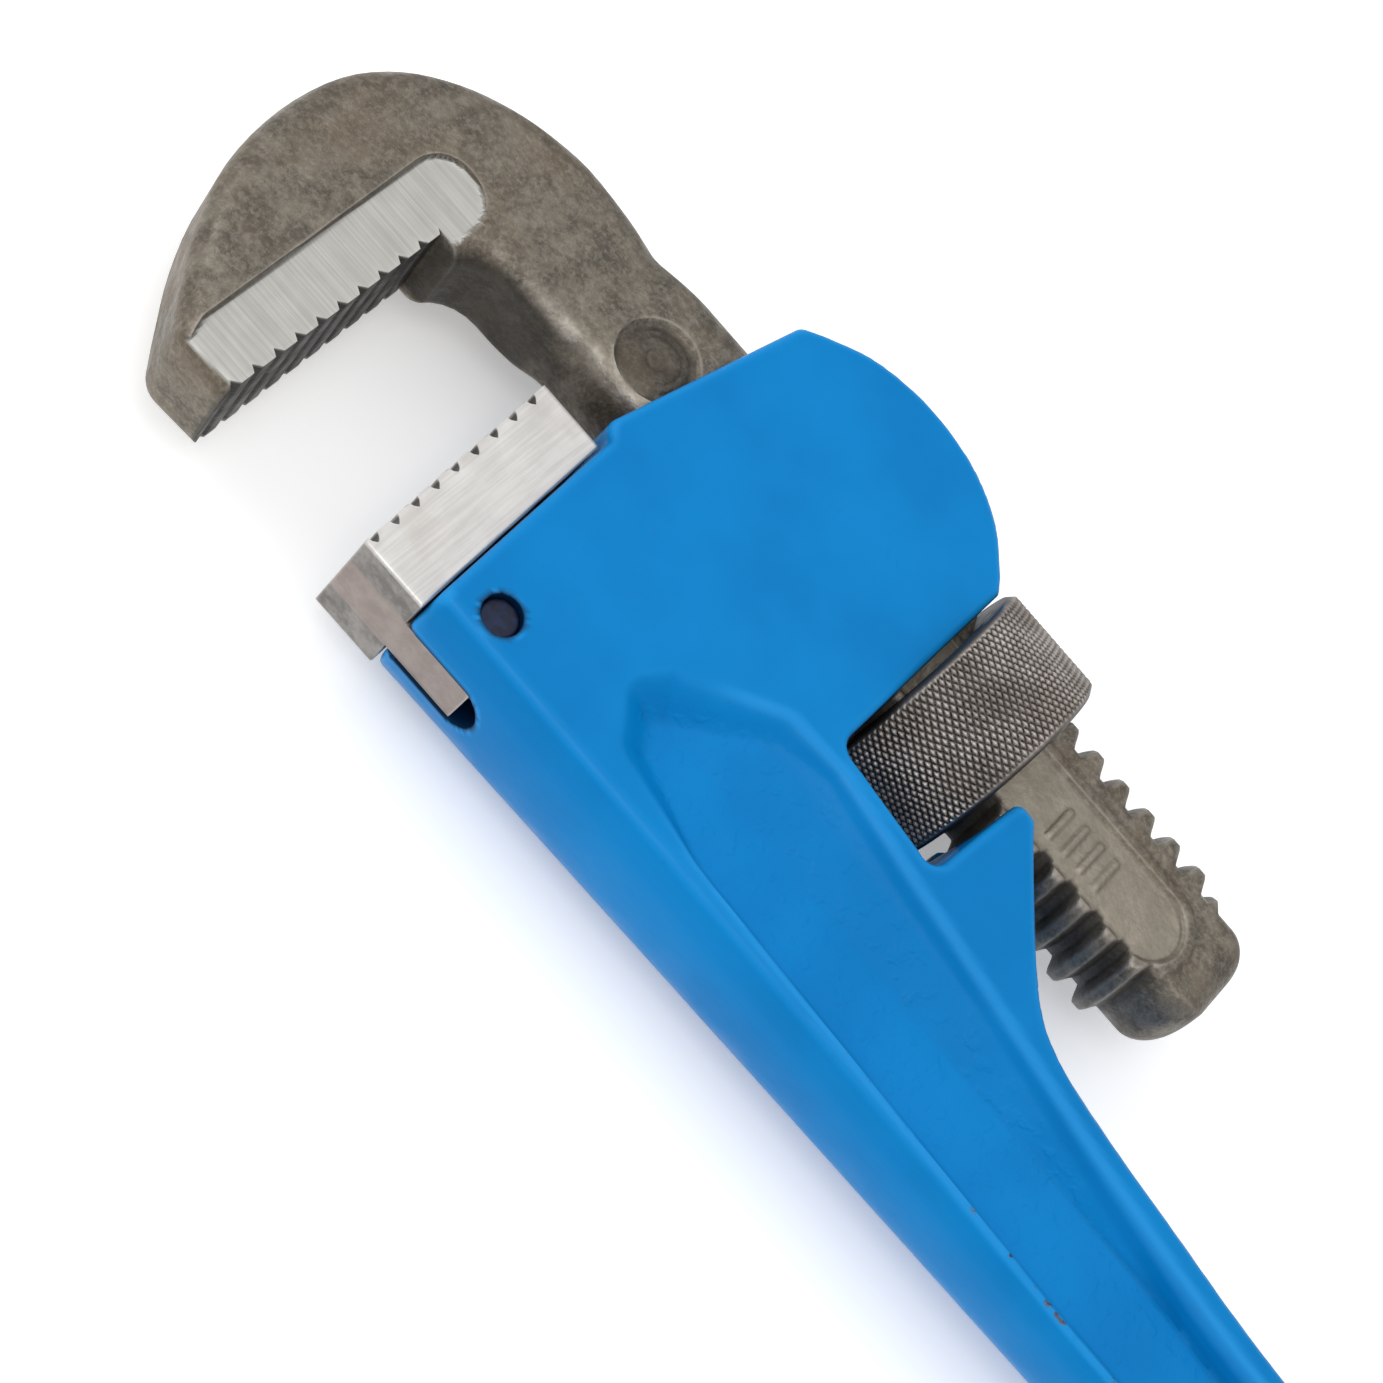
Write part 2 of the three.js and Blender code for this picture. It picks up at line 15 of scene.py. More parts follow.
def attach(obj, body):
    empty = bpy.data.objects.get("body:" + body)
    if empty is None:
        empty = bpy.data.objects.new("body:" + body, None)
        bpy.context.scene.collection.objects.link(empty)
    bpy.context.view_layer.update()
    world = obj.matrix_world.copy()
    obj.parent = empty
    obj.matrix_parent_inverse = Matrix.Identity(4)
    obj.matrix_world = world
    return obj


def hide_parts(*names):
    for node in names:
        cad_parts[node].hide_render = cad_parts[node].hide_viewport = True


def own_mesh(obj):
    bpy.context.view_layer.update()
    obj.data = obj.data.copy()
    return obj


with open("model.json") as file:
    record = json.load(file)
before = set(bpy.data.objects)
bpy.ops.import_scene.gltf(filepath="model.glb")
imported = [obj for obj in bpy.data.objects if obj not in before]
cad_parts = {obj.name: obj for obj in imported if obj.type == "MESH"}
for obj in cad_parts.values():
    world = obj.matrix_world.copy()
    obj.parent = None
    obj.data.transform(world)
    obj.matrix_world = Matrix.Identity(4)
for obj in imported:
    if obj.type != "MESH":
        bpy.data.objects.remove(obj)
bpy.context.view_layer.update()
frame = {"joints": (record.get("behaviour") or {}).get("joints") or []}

# ---------------------------------------------------------------------------------------------------
# Where the wrench lies. The nut's axis in the frame fixes the shank's axis, and the nut's middle is
# 52.4 mm from the heel jaw's seat.
NUT_MIDDLE = 52.4
nut_axis = next(j for j in frame["joints"] if j["name"] == "nut_spin")["pos_m"]
ORIGIN = np.array(nut_axis) * 1000 - np.array([NUT_MIDDLE, 0, 0])


def place(points):
    """Millimetres in the wrench's axes to metres in the frame."""
    return (np.asarray(points, float) + ORIGIN) / 1000


# ---------------------------------------------------------------------------------------------------
# The camera: a longish lens looking down on the wrench's side from its open side, rolled so that the
# hook jaw is at the upper left and the grip runs out at the lower right.
AIM = (28.2, -24.7, 0.0)
AZIMUTH, ELEVATION, ROLL = math.radians(-3.0), math.radians(57.0), math.radians(51.3)
DISTANCE = 343.7
back = Vector((math.sin(AZIMUTH) * math.cos(ELEVATION), -math.cos(AZIMUTH) * math.cos(ELEVATION),
               math.sin(ELEVATION)))
level = Vector((math.cos(AZIMUTH), math.sin(AZIMUTH), 0))
upright = back.cross(level)
right = level * math.cos(ROLL) + upright * math.sin(ROLL)
up = back.cross(right)
camera = bpy.data.objects.new("camera", bpy.data.cameras.new("camera"))
camera.data.lens = 78.1
camera.data.sensor_width = 36.0
camera.data.clip_start = 0.01
camera.matrix_world = Matrix.Translation(Vector(place(AIM)) + back * DISTANCE / 1000) @ Matrix(
    (right, up, back)).transposed().to_4x4()
bpy.context.scene.collection.objects.link(camera)
bpy.context.scene.camera = camera

# ---------------------------------------------------------------------------------------------------
# The studio: a pale, faintly lit sweep under the wrench, a pale room, one broad soft light overhead, and
# two small softboxes in front that draw the highlights on the nut, the shank and the grip.


def plain_material(name, color, roughness):
    """A pale, even surface with a trace of mottling, lit weakly from below as a light table is."""
    material = bpy.data.materials.new(name)
    material.use_nodes = True
    nodes, links = material.node_tree.nodes, material.node_tree.links
    shader = nodes["Principled BSDF"]
    shader.inputs["Roughness"].default_value = roughness
    where = nodes.new("ShaderNodeTexCoord")
    noise = nodes.new("ShaderNodeTexNoise")
    noise.inputs["Scale"].default_value = 9.0
    links.new(where.outputs["Object"], noise.inputs["Vector"])
    ramp = nodes.new("ShaderNodeValToRGB")
    ramp.color_ramp.elements[0].color = (*[c * 0.985 for c in color], 1)
    ramp.color_ramp.elements[1].color = (*color, 1)
    links.new(noise.outputs["Fac"], ramp.inputs["Fac"])
    links.new(ramp.outputs["Color"], shader.inputs["Base Color"])
    links.new(ramp.outputs["Color"], shader.inputs["Emission Color"])
    shader.inputs["Emission Strength"].default_value = 0.26
    return material


def sweep_sheet():
    """A square sheet, flat at the wrench's lowest level, as a grid of 25 by 25 points."""
    across = np.linspace(-2.4, 2.4, 25)
    x, y = np.meshgrid(across, across, indexing="ij")
    corners = np.stack([x, y, np.full_like(x, -0.0002)], -1).reshape(-1, 3)
    i = np.arange(24)[:, None] * 25 + np.arange(24)[None, :]
    quads = np.stack([i, i + 25, i + 26, i + 1], -1).reshape(-1, 4)
    mesh = bpy.data.meshes.new("floor")
    mesh.from_pydata(corners.tolist(), [], quads.tolist())
    return mesh


floor = bpy.data.objects.new("floor", sweep_sheet())
bpy.context.scene.collection.objects.link(floor)
floor.data.materials.append(plain_material("pale_sweep", (0.955, 0.955, 0.95), 0.75))


def softbox(name, at, size, power, size_y=None):
    """A rectangular light at a place in the wrench's axes, turned to face the housing."""
    light = bpy.data.lights.new(name, "AREA")
    light.shape = "RECTANGLE"
    light.size = size
    light.size_y = size_y or size
    light.energy = power
    lamp = bpy.data.objects.new(name, light)
    here = Vector(place(at))
    lamp.location = here
    lamp.rotation_euler = (Vector(place((25, -15, 0))) - here).to_track_quat("-Z", "Y").to_euler()
    bpy.context.scene.collection.objects.link(lamp)


ceiling = bpy.data.objects.new("ceiling", bpy.data.lights.new("ceiling", "SUN"))
ceiling.data.energy = 0.92
ceiling.data.angle = math.radians(75)
ceiling.rotation_euler = Vector((-0.05, -0.12, -1)).to_track_quat("-Z", "Y").to_euler()
bpy.context.scene.collection.objects.link(ceiling)
softbox("key", (5, -290, 560), 0.22, 0.6)
softbox("left_strip", (-420, -60, 330), 0.5, 0.7, 0.16)
world = bpy.data.worlds.new("room")
world.use_nodes = True
world.node_tree.nodes["Background"].inputs["Color"].default_value = (0.98, 0.98, 1.0, 1)
world.node_tree.nodes["Background"].inputs["Strength"].default_value = 0.57
bpy.context.scene.world = world
bpy.context.scene.view_settings.view_transform = "Standard"

# ---------------------------------------------------------------------------------------------------
# The handle: one grey-iron casting, with the heel seat, the closed housing round the shank, the nut's
# window, two ears behind it and an I-section grip with a hanging hole. Dipped in blue enamel.
HOUSING_HALF = 10.5
GRIP_HALF = 7.2
GRIP_FROM = 119.0
EDGE_Y = -49.7
HANDLE_END = 191.0
END_R = 9.9
PANEL_DEPTH = 3.7
SHANK_HALF = 7.2
ROCK_SHUT = math.tan(math.radians(3.3))
ROCK_OPEN = math.tan(math.radians(0.8))
PIN_AT = (8.0, -43.2)
SLOT_END, SLOT_HALF = 11.2, 3.6
HANG_AT = (HANDLE_END - END_R - 0.6, EDGE_Y + END_R)


def rounded(corners, steps=7):
    """A closed outline: straight sides between corners (x, y, radius), each corner turned by an arc of its
    own radius, drawn with `steps` chords."""
    corners = np.array(corners, float)
    here = corners[:, :2]
    to_last = np.roll(here, 1, 0) - here
    to_next = np.roll(here, -1, 0) - here
    last_length = np.linalg.norm(to_last, axis=1)
    next_length = np.linalg.norm(to_next, axis=1)
    a = to_last / last_length[:, None]
    b = to_next / next_length[:, None]
    half_angle = np.arccos(np.clip((a * b).sum(1), -1, 1)) / 2
    reach = np.minimum(corners[:, 2] / np.tan(half_angle), 0.499 * np.minimum(last_length, next_length))
    radius = reach * np.tan(half_angle)
    middle = a + b
    middle /= np.maximum(np.linalg.norm(middle, axis=1), 1e-9)[:, None]
    centre = here + middle * (radius / np.maximum(np.sin(half_angle), 1e-9))[:, None]
    start = here + a * reach[:, None] - centre
    end = here + b * reach[:, None] - centre
    first = np.arctan2(start[:, 1], start[:, 0])
    turn = np.arctan2(end[:, 1], end[:, 0]) - first
    turn = (turn + np.pi) % (2 * np.pi) - np.pi
    t = np.linspace(0, 1, steps + 1)
    angle = first[:, None] + turn[:, None] * t
    arc = centre[:, None] + radius[:, None, None] * np.stack([np.cos(angle), np.sin(angle)], -1)
    return arc.reshape(-1, 2)


def smooth(points, steps=4):
    """Corners of no radius along a smooth line through points: each stretch is a cubic whose slope at a
    point is half the way from the point before it to the point after."""
    points = np.array(points, float)
    padded = np.concatenate([2 * points[:1] - points[1:2], points, 2 * points[-1:] - points[-2:-1]])
    t = np.linspace(0, 1, steps, endpoint=False)[None, :, None]
    a, b, c, d = (padded[k:len(padded) - 3 + k, None] for k in range(4))
    line = b + t * (c - a) / 2 + t**2 * (a - 2.5 * b + 2 * c - d / 2) + t**3 * (1.5 * (b - c) + (d - a) / 2)
    line = np.concatenate([line.reshape(-1, 2), points[-1:]])
    return [(x, y, 0.0) for x, y in line]


def inside_distance(outline, x, y):
    """Signed distance to a closed outline, negative inside: the nearest side gives the distance and the
    number of sides crossed going towards +X gives the sign."""
    x, y = np.broadcast_arrays(x, y)
    nearest = np.full(x.shape, 1e9)
    crossed = np.zeros(x.shape, bool)
    for (ax, ay), (bx, by) in zip(outline, np.roll(outline, -1, 0)):
        ex, ey = bx - ax, by - ay
        length2 = ex * ex + ey * ey
        if length2 < 1e-12:
            continue
        t = np.clip(((x - ax) * ex + (y - ay) * ey) / length2, 0, 1)
        nearest = np.minimum(nearest, (x - ax - t * ex) ** 2 + (y - ay - t * ey) ** 2)
        if ey != 0:
            crossed ^= ((ay > y) != (by > y)) & (x < ax + (y - ay) * ex / ey)
    return np.where(crossed, -1, 1) * np.sqrt(nearest)


def both(a, b, radius):
    """The common part of two forms, with the edge where they meet rounded to `radius`."""
    u, v = np.maximum(a + radius, 0), np.maximum(b + radius, 0)
    return np.minimum(np.maximum(a, b), -radius) + np.hypot(u, v)


def either(a, b, radius):
    """Two forms joined, with the inner corner between them filled to `radius`."""
    u, v = np.maximum(radius - a, 0), np.maximum(radius - b, 0)
    return np.maximum(np.minimum(a, b), radius) - np.hypot(u, v)


def ease(value, start, end):
    """0 before start, 1 after end, and a smooth S between them."""
    t = np.clip((value - start) / (end - start), 0, 1)
    return t * t * (3 - 2 * t)


def block(u, v, half_u, half_v, radius):
    """Signed distance to a rectangle about zero with corners of `radius`."""
    qu, qv = np.abs(u) - half_u + radius, np.abs(v) - half_v + radius
    return np.hypot(np.maximum(qu, 0), np.maximum(qv, 0)) + np.minimum(np.maximum(qu, qv), 0) - radius


def level_surface(form, low, high, step):
    """The surface where form(x, y, z) is zero, on a grid of cubes. Each cube that the surface passes
    through gets one point, where the planes touching the surface on the cube's edges come closest to
    meeting, so flat faces stay flat and edges stay sharp. Each grid edge that it crosses gives one quad."""
    axes = [np.arange(a - step, b + 2 * step, step) for a, b in zip(low, high)]
    value = form(axes[0][:, None, None], axes[1][None, :, None], axes[2][None, None, :]).astype(np.float32)
    cells = np.array(value.shape) - 1
    stride = np.array([cells[1] * cells[2], cells[2], 1])
    points, normals, owners, quads = [], [], [], []
    for axis in range(3):
        ahead = [slice(None)] * 3
        behind = [slice(None)] * 3
        ahead[axis], behind[axis] = slice(1, None), slice(None, -1)
        f0, f1 = value[tuple(behind)], value[tuple(ahead)]
        ijk = np.argwhere((f0 < 0) != (f1 < 0))
        start = np.stack([axes[k][ijk[:, k]] for k in range(3)], -1)
        lo, hi = np.zeros(len(ijk)), np.full(len(ijk), step)
        f_lo = f0[tuple(ijk.T)].astype(float)
        f_hi = f1[tuple(ijk.T)].astype(float)
        rising = f_lo < 0
        for _ in range(4):
            t = lo + (hi - lo) * np.clip(f_lo / (f_lo - f_hi), 0.05, 0.95)
            here = start.copy()
            here[:, axis] += t
            f = form(*here.T)
            low_side = (f < 0) == (f_lo < 0)
            lo, f_lo = np.where(low_side, t, lo), np.where(low_side, f, f_lo)
            hi, f_hi = np.where(low_side, hi, t), np.where(low_side, f_hi, f)
        here[:, axis] = start[:, axis] + lo + (hi - lo) * f_lo / (f_lo - f_hi)
        nudge = 0.03
        slope = np.stack([form(*(here + nudge * np.eye(3)[k]).T) - form(*(here - nudge * np.eye(3)[k]).T)
                          for k in range(3)], -1)
        slope /= np.maximum(np.linalg.norm(slope, axis=1), 1e-9)[:, None]
        b_axis, c_axis = (axis + 1) % 3, (axis + 2) % 3
        around = np.zeros((4, 3), int)
        around[1, b_axis] = around[2, b_axis] = around[2, c_axis] = around[3, c_axis] = -1
        cell = (ijk[:, None, :] + around[None]) @ stride
        points.append(np.repeat(here, 4, 0))
        normals.append(np.repeat(slope, 4, 0))
        owners.append(cell.reshape(-1))
        quads.append(np.where(rising[:, None], cell, cell[:, ::-1]))
    points, normals, owners = np.concatenate(points), np.concatenate(normals), np.concatenate(owners)
    used, owner = np.unique(owners, return_inverse=True)
    count = np.bincount(owner)

    def total(values):
        return np.bincount(owner, values)

    centre = np.stack([total(points[:, k]) / count for k in range(3)], -1)
    offset = (normals * (points - centre[owner])).sum(1)
    matrix = np.stack([total(normals[:, r] * normals[:, c]) for r in range(3) for c in range(3)], -1)
    matrix = matrix.reshape(-1, 3, 3) + 0.04 * np.eye(3)
    rhs = np.stack([total(normals[:, k] * offset) for k in range(3)], -1)
    move = np.linalg.solve(matrix, rhs[..., None])[..., 0]
    corner = np.stack([axes[k][used // stride[k] % cells[k]] for k in range(3)], -1)
    points = np.clip(centre + move, corner - 0.1 * step, corner + 1.1 * step)
    return points, np.searchsorted(used, np.concatenate(quads))


def edge_sharpness(form, points, reach):
    """How much a surface bends at each point: the form's average a short way off, over the reach.
    Positive on outer edges, negative in hollows."""
    around = sum(form(*(points + side * reach * np.eye(3)[k]).T) for k in range(3) for side in (-1, 1))
    return (around - 6 * form(*points.T)) / (6 * reach)


def piece_from(name, points, faces, material, marks=None, sharp=None):
    """A mesh object from points in the wrench's axes and faces of four points, smooth, with edges over
    `sharp` degrees kept crisp, and one value per point for each named mark."""
    mesh = bpy.data.meshes.new(name)
    faces = np.asarray(faces, np.int32)
    mesh.vertices.add(len(points))
    mesh.vertices.foreach_set("co", place(points).astype(np.float32).ravel())
    mesh.loops.add(faces.size)
    mesh.loops.foreach_set("vertex_index", faces.ravel())
    mesh.polygons.add(len(faces))
    mesh.polygons.foreach_set("loop_start", np.arange(0, faces.size, faces.shape[1], dtype=np.int32))
    mesh.polygons.foreach_set("use_smooth", np.ones(len(faces), bool))
    mesh.update(calc_edges=True)
    mesh.validate()
    for mark, values in (marks or {}).items():
        layer = mesh.attributes.new(mark, "FLOAT", "POINT")
        layer.data.foreach_set("value", np.asarray(values, np.float32))
    if sharp:
        mesh.set_sharp_from_angle(angle=math.radians(sharp))
    mesh.materials.append(material)
    made = bpy.data.objects.new(name, mesh)
    bpy.context.scene.collection.objects.link(made)
    return made


HANDLE_OUTLINE = rounded([
    (0.8, -17.3, 1.0), (2.05, EDGE_Y, 1.4), (HANDLE_END, EDGE_Y, END_R),
    (HANDLE_END, EDGE_Y + 2 * END_R, END_R),
    *smooth([(172, -29.9), (160, -30.4), (148, -30.5), (129, -29.8), (109, -27.8), (97.4, -26.6),
             (87.0, -25.1), (81.0, -22.8), (75.8, -18.6), (70.6, -13.2), (67.2, -9.4)]),
    (65.6, -7.4, 1.4), (62.8, -7.2, 1.2), (61.3, -22.4, 2.0), (43.7, -20.7, 2.2), (43.9, 10.6, 1.2),
    *smooth([(42.6, 12.4), (37.8, 17.0), (31.8, 20.0), (25.6, 21.2), (19.2, 21.1), (12.8, 19.5),
             (7.2, 16.3)]),
    (4.6, 14.4, 1.6), (-1.0, -15.6, 2.0)])
PANEL_OUTLINE = rounded([
    (21.6, -36.2, 4.0), (24.6, -30.6, 2.5), (37.4, -23.2, 3.4),
    *smooth([(46.0, -22.8), (61.0, -24.9), (82, -27.4), (101, -30.1), (125, -32.6), (150, -33.8)]),
    (166, -34.4, 5.6), (166, -46.6, 5.6), (106, -47.0, 30), (42, -45.0, 20), (27.0, -43.2, 5)])


def handle_form(x, y, z):
    """The casting as a signed form: its outline, at a half thickness that tapers along the grip and stays
    full over the housing and ears, less the panels, the shank's channel, the slot and the holes."""
    across = np.abs(z)
    side = inside_distance(HANDLE_OUTLINE, x, y)
    beam = HOUSING_HALF + (GRIP_HALF - HOUSING_HALF) * np.clip(x / GRIP_FROM, 0, 1)
    full = ease(y, -28.5, -20.5) * (1 - ease(x, 66, 96))
    half = beam + (HOUSING_HALF - beam) * full
    panel = inside_distance(PANEL_OUTLINE, x, y)
    far_edge = np.interp(x, (37, 46, 61, 82, 101, 125, 166),
                         (-22.6, -22.8, -24.9, -27.4, -30.1, -32.6, -34.4))
    far_wall = np.clip((far_edge - y) / np.maximum(far_edge + 34.2, 2.5), 0, 1)
    soft = 2.2 + 3.2 * (1 - ease(x, 27, 46))
    half = half - PANEL_DEPTH * ease(-panel, -0.3, soft) * (0.08 + 0.92 * far_wall)
    edge = 1.1 + 0.5 * ease(x, 72, 100) * ease(y, -40, -34)
    solid = both(side, across - half, edge)
    bulge = (beam**2 + 2.7**2) / 5.4
    solid = both(solid, np.hypot(np.minimum(y - EDGE_Y - bulge, 0), z) - bulge, 0.9)
    # the channel is the shank's room, opened towards the jaws by its rock
    ahead = np.maximum(NUT_MIDDLE - x, 0)
    behind = np.maximum(x - NUT_MIDDLE, 0)
    floor_y = -11.4 - ROCK_SHUT * ahead - ROCK_OPEN * behind
    roof_y = 11.4 + ROCK_OPEN * ahead + 0.3 * behind
    channel = block(y - (floor_y + roof_y) / 2, z, (roof_y - floor_y) / 2, SHANK_HALF + 0.4, 3.0)
    leaf_floor = -13.2 - (ROCK_SHUT + 0.004) * ahead
    leaf_room = np.maximum(np.maximum(np.abs(z) - 4.5, np.maximum(leaf_floor - y, y)), x - 41.5)
    pocket = np.maximum(np.maximum(np.hypot(x - 22, z) - 4.2, -23.2 - y), y + 10)
    slot = np.maximum(np.hypot(np.maximum(x - SLOT_END, 0), z) - SLOT_HALF, y + 20.4)
    pin_hole = np.hypot(x - PIN_AT[0], y - PIN_AT[1]) - 2.5
    hang_hole = np.hypot(x - HANG_AT[0], y - HANG_AT[1]) - 5.5
    solid = both(solid, -channel, 0.8)
    solid = both(solid, -slot, 0.35)
    solid = both(solid, -pin_hole, 0.3)
    solid = both(solid, -hang_hole, 1.2)
    return np.maximum(np.maximum(solid, -leaf_room), -pocket)


class Finish:
    """One procedural material, laid out on the piece's own coordinates in metres."""

    def __init__(self, name):
        self.material = bpy.data.materials.new(name)
        self.material.use_nodes = True
        self.nodes, self.links = self.material.node_tree.nodes, self.material.node_tree.links
        self.shader = self.nodes["Principled BSDF"]
        self.where = self.nodes.new("ShaderNodeTexCoord").outputs["Object"]

    def feed(self, socket, value):
        """Sets a number or a colour on a socket, or links another node's output to it."""
        if isinstance(value, bpy.types.NodeSocket):
            self.links.new(value, socket)
        elif isinstance(value, tuple):
            socket.default_value = (*value, 1)
        else:
            socket.default_value = value

    def stretched(self, x, y, z):
        """The coordinates, stretched so that a pattern runs long where the factor is small."""
        made = self.nodes.new("ShaderNodeMapping")
        made.inputs["Scale"].default_value = (x, y, z)
        self.links.new(self.where, made.inputs["Vector"])
        return made.outputs["Vector"]

    def noise(self, scale, detail=2.0, roughness=0.5, where=None):
        made = self.nodes.new("ShaderNodeTexNoise")
        made.inputs["Scale"].default_value = scale
        made.inputs["Detail"].default_value = detail
        made.inputs["Roughness"].default_value = roughness
        self.links.new(where or self.where, made.inputs["Vector"])
        return made.outputs["Fac"]

    def mark(self, name):
        made = self.nodes.new("ShaderNodeAttribute")
        made.attribute_name = name
        return made.outputs["Fac"]

    def ramp(self, source, low, high, first=0.0, last=1.0):
        """Carries low..high to first..last along a smooth S."""
        made = self.nodes.new("ShaderNodeMapRange")
        made.interpolation_type = "SMOOTHSTEP"
        for socket, value in zip(("From Min", "From Max", "To Min", "To Max"), (low, high, first, last)):
            made.inputs[socket].default_value = value
        self.links.new(source, made.inputs["Value"])
        return made.outputs["Result"]

    def mix(self, factor, first, last):
        made = self.nodes.new("ShaderNodeMix")
        made.data_type = "RGBA"
        first_color, last_color, mixed_color = made.inputs[6], made.inputs[7], made.outputs[2]
        self.feed(made.inputs["Factor"], factor)
        self.feed(first_color, first)
        self.feed(last_color, last)
        return mixed_color

    def calc(self, operation, first, second):
        made = self.nodes.new("ShaderNodeMath")
        made.operation = operation
        self.feed(made.inputs[0], first)
        self.feed(made.inputs[1], second)
        return made.outputs[0]

    def done(self, color, metallic, roughness, height, depth, strength=0.6, **others):
        """Feeds the shader, with `height` raised by `depth` metres, and gives the material back."""
        bump = self.nodes.new("ShaderNodeBump")
        bump.inputs["Distance"].default_value = depth
        bump.inputs["Strength"].default_value = strength
        self.links.new(height, bump.inputs["Height"])
        self.links.new(bump.outputs["Normal"], self.shader.inputs["Normal"])
        settings = {"Base Color": color, "Metallic": metallic, "Roughness": roughness}
        for name, value in {**settings, **others}.items():
            self.feed(self.shader.inputs[name], value)
        return self.material


def enamel():
    """Blue enamel over cast iron: the casting's broad unevenness, a fine orange peel, paler paint where it
    thins on edges, also standing as a painted highlight there, a painted highlight along the panel's far
    edge, painted shade in the hollows, near-black painted shade in the pin hole, the slot and the nut's
    window, pebbled panels, and bare iron in small chips on edges."""
    paint = Finish("blue_enamel")
    edge = paint.mark("edge")
    panel = paint.mark("panel")
    tone = paint.mix(paint.ramp(paint.noise(48, 3), 0.35, 0.68), (0.001, 0.186, 0.50), (0.0015, 0.215, 0.56))
    # Paler paint where it thins on edges, which also stands as a painted highlight along them.
    edge_paint_and_highlight = paint.mix(paint.ramp(edge, 0.02, 0.20, 0, 0.85), tone, (0.016, 0.275, 0.67))
    # Painted shade: darker in the hollows, where the form bends inwards.
    shade = paint.mix(paint.ramp(edge, -0.03, -0.2, 0, 0.28), edge_paint_and_highlight, (0.001, 0.10, 0.29))
    speck = paint.ramp(paint.noise(650, 3, 0.6), 0.66, 0.74, 0, 0.30)
    dusty = paint.mix(speck, shade, (0.010, 0.16, 0.40))
    chips = paint.ramp(paint.noise(330, 5, 0.72), 0.60, 0.65)
    worn = paint.calc("MULTIPLY", paint.ramp(edge, 0.17, 0.32), chips)
    # Painted highlight along the far edge of the recessed panel, where the crest mark is high.
    painted_crest_highlight = paint.mix(paint.calc("MULTIPLY", paint.mark("crest"), 0.6), dusty, (0.020, 0.29, 0.69))
    chipped = paint.mix(worn, painted_crest_highlight, (0.12, 0.115, 0.11))
    # Painted shade: near-black in the pin hole, deep in the slot and on the window's wall.
    color = paint.mix(paint.calc("MULTIPLY", paint.mark("painted_recess_shade"), 0.93), chipped, (0.0015, 0.006, 0.028))
    pebble = paint.calc("MULTIPLY", paint.ramp(paint.noise(560, 2), 0.50, 0.68), panel)
    broad = paint.calc("MULTIPLY", paint.noise(120, 2), 1.5)
    peel = paint.calc("MULTIPLY", paint.noise(900, 1), 0.10)
    height = paint.calc("ADD", paint.calc("ADD", broad, peel), paint.calc("MULTIPLY", pebble, 0.35))
    height = paint.calc("SUBTRACT", height, paint.calc("MULTIPLY", worn, 0.3))
    gloss = paint.ramp(paint.noise(210, 4), 0.3, 0.7, 0.30, 0.42)
    return paint.done(color, paint.calc("MULTIPLY", worn, 0.8), gloss, height, 0.0004, 0.5,
                      **{"Specular IOR Level": 0.06, "Coat Weight": 0.03, "Coat Roughness": 0.15})


points, faces = level_surface(handle_form, (-2, EDGE_Y - 0.5, -11), (HANDLE_END + 0.5, 21.5, 11), 0.58)
x, y, across = points[:, 0], points[:, 1], np.abs(points[:, 2])
# Where painted shade goes: the pin hole's wall, deep in the slot, and the window's wall beside the nut.
near_pin = 1 - ease(np.hypot(x - PIN_AT[0], y - PIN_AT[1]), 2.6, 2.95)
in_slot = 1 - ease(np.hypot(np.maximum(x - SLOT_END, 0), across), SLOT_HALF + 0.05, SLOT_HALF + 0.4)
in_slot = in_slot * (1 - ease(y, -20.6, -20.2))
in_window = ease(x, 43.3, 43.6) * (1 - ease(x, 44.1, 44.4))
in_window = in_window * (1 - ease(across, 9.4, 10.1)) * ease(y, -21, -19.5)
inside_panel = -inside_distance(PANEL_OUTLINE, x, y)
# Where the far edge of the panel rounds over: the mask for a painted highlight.
crest = (1 - ease(np.abs(inside_panel - 0.1), 0.25, 1.1)) * ease(y, -37, -34) * ease(x, 27, 34)
handle = piece_from("handle_casting", points, faces, enamel(), {
    "edge": edge_sharpness(handle_form, points, 0.8), "crest": crest,
    "painted_recess_shade": np.maximum(np.maximum(near_pin, in_slot), in_window),
    "panel": ease(inside_panel, 1.5, 4.0)}, 50)
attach(handle, "handle_assembly")
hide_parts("handle")

# ---------------------------------------------------------------------------------------------------
# The hook jaw: drop forged in one with its threaded shank, scaled grey brown all over, then milled
# bright on both flanks beside the teeth. Round mark pad in front of the housing, and a long sunken
# panel along each flat of the tang.
PITCH = 4.6
CREST_AT = 20.0
THREAD_FROM, THREAD_TO, TANG_END = 20.3, 89.4, 97.0
TOOTH_PITCH = 3.4
TEETH_TOP = -13.6
SHANK_R, THREAD_ROOT_R, THREAD_DEPTH = 10.7, 9.1, 1.9
PAD_AT = (-3.2, -2.6)
PANEL_FROM, PANEL_TO, PANEL_Y, PANEL_R = 26.5, 84.0, -2.4, 5.3
BARS_AT = (68.5, 71.2, 73.9, 76.6)

HEAD_OUTLINE = rounded([
    *smooth([(-7.0, 8.2), (-14.0, 9.7), (-24.0, 10.0), (-31.0, 8.6), (-37.2, 6.3), (-43.0, 2.9),
             (-48.2, -2.3), (-51.5, -9.2), (-52.3, -18.5), (-50.6, -28.4), (-46.5, -37.0), (-40.9, -45.0)]),
    (-37.6, -49.3, 4.0), (-27.5, -49.0, 0.2), (-27.5, -10.4, 7.0), (-14.0, -10.0, 14.0),
    (-7.0, -8.2, 0.2)])
FLANK_OUTLINE = rounded([(-37.6, -45.2, 0.6), (-38.3, -5.3, 4.7), (-28.4, -5.3, 4.7), (-27.4, -14.6, 1.0),
                         (-20, -16, 1), (-20, -60, 1), (-30, -60, 1), (-36.4, -49.2, 0.5)])


